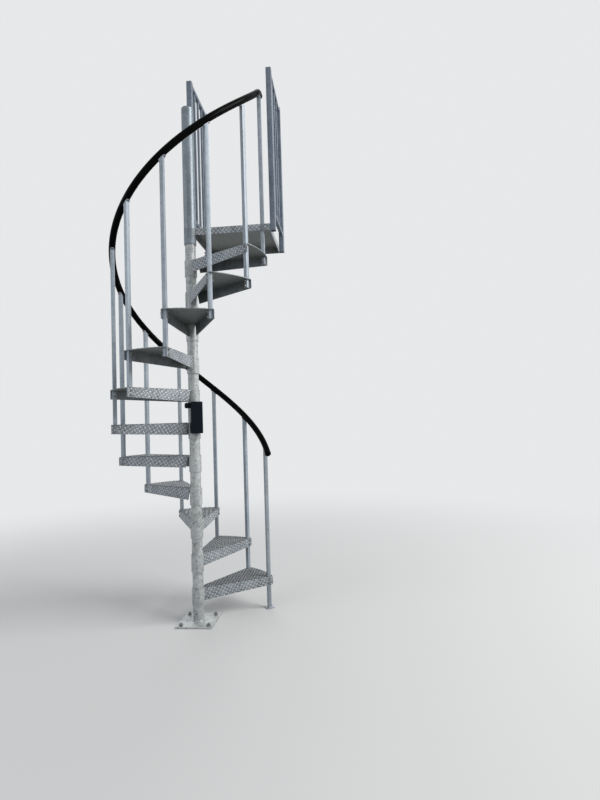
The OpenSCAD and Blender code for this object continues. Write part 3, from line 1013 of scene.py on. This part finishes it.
def tread_welds(i):
    """Weld beads of one tread round its hub."""
    bm = bmesh.new()
    side = math.asin(EDGE / HUB_R)
    hub_welds(bm, place(i * STEP, i * RISER), -side, STEP + side, FLANGE_HUB)
    finish_piece(f"tread_{i:02d}_welds", bm, WELDS, sharp=80)


def landing_welds():
    """Weld beads of the landing: round its hub and where its side flange meets the hub."""
    bm = bmesh.new()
    base = Matrix.Translation((0, 0, LAND_Z))
    hub_welds(bm, base, -math.asin(EDGE / HUB_R), math.acos(LAND_IN / HUB_R), LAND_EDGE)
    down_bead(bm, base, LAND_IN, math.sqrt(HUB_R ** 2 - LAND_IN ** 2), SIDE_BEADS)
    finish_piece("landing_welds", bm, WELDS, sharp=80)


def guard_welds():
    """Fillet welds where the rails and bars of both guards meet."""
    bm = bmesh.new()
    down = Matrix.Rotation(math.pi, 4, "X")
    along = Matrix.Rotation(-math.pi / 2, 4, "X")
    back = Matrix.Rotation(math.pi / 2, 4, "X")
    for x, start in ((LAND_IN - POST / 2, HUB_R + HUB_GAP), (LAND_OUT + POST / 2, -EDGE)):
        low, high = start + POST, LAND_BACK - POST
        bay = (high - low) / (GUARD_BARS + 1)
        for z in (LAND_Z + GUARD_LOW + GUARD_RAIL / 2, GUARD_TOP - GUARD_RAIL / 2):
            collar(bm, Matrix.Translation((x, low, z)) @ along, GUARD_RAIL / 2)
            collar(bm, Matrix.Translation((x, high, z)) @ back, GUARD_RAIL / 2)
        for k in range(1, GUARD_BARS + 1):
            at = (x, low + bay * k)
            collar(bm, Matrix.Translation((*at, LAND_Z + GUARD_LOW + GUARD_RAIL)), GUARD_BAR / 2)
            collar(bm, Matrix.Translation((*at, GUARD_TOP - GUARD_RAIL)) @ down, GUARD_BAR / 2)
    cut_off(bm, (0, 0, GUARD_TOP - FILLET_SINK), (0, 0, 1))
    finish_piece("guard_welds", bm, POSTS, sharp=30)


def foot_welds():
    """Welds between the pole and its base plate and at the foot of the first baluster."""
    bm = bmesh.new()
    turns = [math.tau * k / BASE_BEADS for k in range(BASE_BEADS)]
    frames = ripples([around(a, POLE_R + BASE_OFF, BASE_T + BASE_OFF) for a in turns])
    sweep(bm, frames + frames[:1], BEAD_BASE_R, closed=True)
    collar(bm, foot_frame(), TUBE / 2, FOOT_FILLET)
    finish_piece("foot_welds", bm, WELDS, sharp=80)


# Handrail, box and tubes

def handrail_piece():
    """The coiled vinyl rail: one long helical sweep that levels out at its upper end."""
    bm = bmesh.new()
    turns = [RAIL_START + (RAIL_BEND - RAIL_START) * k / CLIMB_STEPS for k in range(CLIMB_STEPS + 1)]
    turns += [RAIL_BEND + RAIL_LEVEL * k / LEVEL_STEPS for k in range(1, LEVEL_STEPS + 1)]
    sweep(bm, [rail_frame(a) for a in turns], RAIL_D / 2, segments=28)
    finish_piece("handrail_vinyl", bm, VINYL, replaced=["handrail"], sharp=60)


def rail_end(name, angle, direction, node):
    """Domed plug on one end of the handrail, with a lip and a small round seat in its middle."""
    bm = bmesh.new()
    r, lip, dome, seat, bends = RAIL_D / 2 + 0.001, 0.006, 0.014, 0.0018, 8
    outline = [(0, 0), (r - 0.0012, 0), (r - 0.0003, 0.0004), (r, 0.0013)]
    for k in range(bends + 1):
        turn = math.pi / 2 * k / bends
        outline.append((r - dome + dome * math.cos(turn), lip + dome * math.sin(turn)))
    end = lip + dome
    outline += [(0.0046, end), (0.0040, end - 0.0006), (0.0038, end - seat), (0, end - seat)]
    lathe(bm, outline, steps=40)
    look = Matrix.Identity(4) if direction > 0 else Matrix.Rotation(math.pi, 4, "X")
    bmesh.ops.transform(bm, matrix=rail_frame(angle) @ look, verts=bm.verts)
    finish_piece(name, bm, VINYL, replaced=[node], sharp=50)


def pole_box_shell():
    """The small box: a back shell, a seam, a front cover with soft corners and a side lug."""
    bm = bmesh.new()
    face = HUB_R + HUB_GAP
    half = BOX_W / 2
    top = BOX_Z + BOX_H
    for inset, near, far, bevel, segments in BOX_LAYERS:
        block(bm, (face + near, -half + inset, BOX_Z + inset),
              (face + far, half - inset, top - inset), bevel, segments)
    lug_top = top - LUG_DROP
    block(bm, (face + LUG_BACK, -half - LUG_W, lug_top - LUG_H),
          (face + LUG_T, -half + LUG_ROOT, lug_top))
    tip = [e for e in bm.edges if all(v.co.y < -half - LUG_W + 1e-5 for v in e.verts)
           and abs(e.verts[0].co.x - e.verts[1].co.x) > LUG_T / 2]
    soften(bm, tip, LUG_TIP, segments=7)
    bmesh.ops.transform(bm, matrix=Matrix.Rotation(BOX_DIR, 4, "Z"), verts=bm.verts)
    finish_piece("pole_box_shell", bm, ENAMEL, replaced=["pole_box"], sharp=50)


def pole_box_band():
    """Galvanised band round the pole between two hubs, with the saddle that carries the small box."""
    bm = bmesh.new()
    low = BOX_TREAD * RISER + BAND_CLEAR
    high = (BOX_TREAD + 1) * RISER - HUB_LEN - BAND_CLEAR
    inner, outer = POLE_R + BAND_GAP, POLE_R + BAND_T
    lathe(bm, [(inner, low), (outer, low), (outer, high), (inner, high)], steps=64, closed=True)
    block(bm, (POLE_R + 2 * BAND_GAP, -SADDLE_W / 2, low),
          (HUB_R + SADDLE_OUT, SADDLE_W / 2, high), bevel=0.0015)
    bmesh.ops.transform(bm, matrix=Matrix.Rotation(BOX_DIR, 4, "Z"), verts=bm.verts)
    finish_piece("pole_box_band", bm, PIPE, sharp=50)


def rounded_tubes(node, radius, material):
    """A CAD node of square tube again, with the rolled corners of such tube on its long edges."""
    plain = nodes[node].data.copy()
    if "custom_normal" in plain.attributes:
        plain.attributes.remove(plain.attributes["custom_normal"])
    bm = bmesh.new()
    bm.from_mesh(plain)
    bpy.data.meshes.remove(plain)
    bmesh.ops.remove_doubles(bm, verts=bm.verts, dist=1e-5)
    bmesh.ops.dissolve_limit(bm, angle_limit=math.radians(0.5), verts=bm.verts, edges=bm.edges)
    corners = [e for e in bm.edges if e.is_manifold and e.calc_face_angle_signed(0) > math.radians(60)
               and e.calc_length() > LONG_EDGE]
    soften(bm, corners, radius, segments=3)
    finish_piece(node + "_tube", bm, material, replaced=[node], sharp=40)


def dress_cad_nodes():
    """Gives every kept CAD node its finish."""
    for name, node in nodes.items():
        starts = [start for start in FINISHES if name.startswith(start)]
        node.data.materials.clear()
        node.data.materials.append(FINISHES[starts[0]] if starts else PIPE)


# Studio

BACKDROP = (0.80, 0.81, 0.82)


def pale_floor():
    """Wide pale floor that fades into the backdrop for the camera and keeps the shadow of the stair."""
    bm = bmesh.new()
    bmesh.ops.create_circle(bm, cap_ends=True, segments=96, radius=40)
    floor = add_object("floor", to_mesh("floor", bm))
    floor.location.z = -0.0005
    material, net, where = new_material("pale floor")
    far = net.vector("LENGTH", "Value", i0=where)
    fade = net.remap(far, 0.6, 6.5, curve="SMOOTHERSTEP")
    rays = net.add("ShaderNodeLightPath").outputs
    seen = net.math("MAXIMUM", rays["Is Camera Ray"], rays["Is Glossy Ray"])
    paint = net.add("ShaderNodeBsdfDiffuse", Color=net.mix(seen, (0.42, 0.41, 0.40), (0.66, 0.66, 0.66)))
    glow = net.add("ShaderNodeEmission", Color=BACKDROP, Strength=1.0)
    shader = net.add("ShaderNodeMixShader", i0=net.times(fade, seen), i1=paint.outputs[0],
                     i2=glow.outputs[0])
    net.add("ShaderNodeOutputMaterial", Surface=shader.outputs[0])
    floor.data.materials.append(material)


def studio_world():
    """Even grey light, with a pale backdrop for the camera and for reflections."""
    world = bpy.data.worlds.new("studio")
    bpy.context.scene.world = world
    world.use_nodes = True
    net = Nodes(world.node_tree)
    rays = net.add("ShaderNodeLightPath").outputs
    seen = net.math("MAXIMUM", rays["Is Camera Ray"],
                    net.math("MAXIMUM", rays["Is Glossy Ray"], rays["Is Transmission Ray"]))
    light = net.add("ShaderNodeBackground", Color=(0.92, 0.96, 1.0), Strength=0.37)
    backdrop = net.add("ShaderNodeBackground", Color=BACKDROP, Strength=1.0)
    shader = net.add("ShaderNodeMixShader", i0=seen, i1=light.outputs[0], i2=backdrop.outputs[0])
    net.add("ShaderNodeOutputWorld", Surface=shader.outputs[0])


def area_lamp(name, at, toward, size, power, colour):
    """Square soft box that looks at a point."""
    lamp = bpy.data.lights.new(name, "AREA")
    lamp.shape = "SQUARE"
    lamp.size = size
    lamp.energy = power
    lamp.color = colour
    lamp_object = add_object(name, lamp)
    lamp_object.location = at
    lamp_object.rotation_euler = (Vector(toward) - Vector(at)).to_track_quat("-Z", "Y").to_euler()


def photo_camera():
    """Camera at the height, distance and aim from which the photograph was taken."""
    distance, height = 3.5414, 1.3714
    azimuth, yaw = math.radians(17.6466), math.radians(12.1377)
    pitch, roll = math.radians(2.2241), math.radians(1.8019)
    focal_pixels, frame_pixels, sensor = 493.83, 800, 36.0
    aim = azimuth - yaw
    level = Vector((-math.sin(aim), math.cos(aim), 0))
    right = Vector((math.cos(aim), math.sin(aim), 0))
    forward = level * math.cos(pitch) + Vector((0, 0, math.sin(pitch)))
    up = right.cross(forward)
    tilt_right = right * math.cos(roll) - up * math.sin(roll)
    tilt_up = right * math.sin(roll) + up * math.cos(roll)
    turn = Matrix((tilt_right, tilt_up, -forward)).transposed().to_4x4()
    camera = bpy.data.cameras.new("camera")
    camera.sensor_width = sensor
    camera.lens = focal_pixels / frame_pixels * sensor
    camera.clip_end = 100
    camera_object = add_object("camera", camera)
    spot = (distance * math.sin(azimuth), -distance * math.cos(azimuth), height)
    camera_object.matrix_world = Matrix.Translation(spot) @ turn
    bpy.context.scene.camera = camera_object


dress_cad_nodes()
for step in range(1, TREADS + 1):
    tread_pattern(step)
    tread_bolts(step)
    tread_welds(step)
landing_pattern()
landing_bolts()
landing_welds()
guard_welds()
for step in range(1, TREADS + 2):
    rounded_tubes(f"baluster_{step:02d}", TUBE_ROUND, TUBES)
for side in ("left", "right"):
    rounded_tubes(f"guard_{side}", POST_ROUND, POSTS)
handrail_piece()
rail_end("handrail_plug_bottom", RAIL_START, -1, "handrail_cap_bottom")
rail_end("handrail_plug_top", RAIL_END, 1, "handrail_cap_top")
rail_screws()
floor_fasteners()
foot_welds()
pole_box_shell()
pole_box_band()

pale_floor()
studio_world()
area_lamp("key", (7.3, -1.1, 6.4), (0, 0, 2.3), 5.6, 740, (1.0, 0.985, 0.96))
area_lamp("fill", (-5.2, -3.2, 3.2), (0, 0, 1.9), 4.0, 85, (0.90, 0.95, 1.0))
area_lamp("rear", (-1.5, 5.5, 4.5), (0, 0, 1.9), 3.0, 80, (1.0, 1.0, 1.0))
photo_camera()
bpy.context.scene.view_settings.view_transform = "Standard"
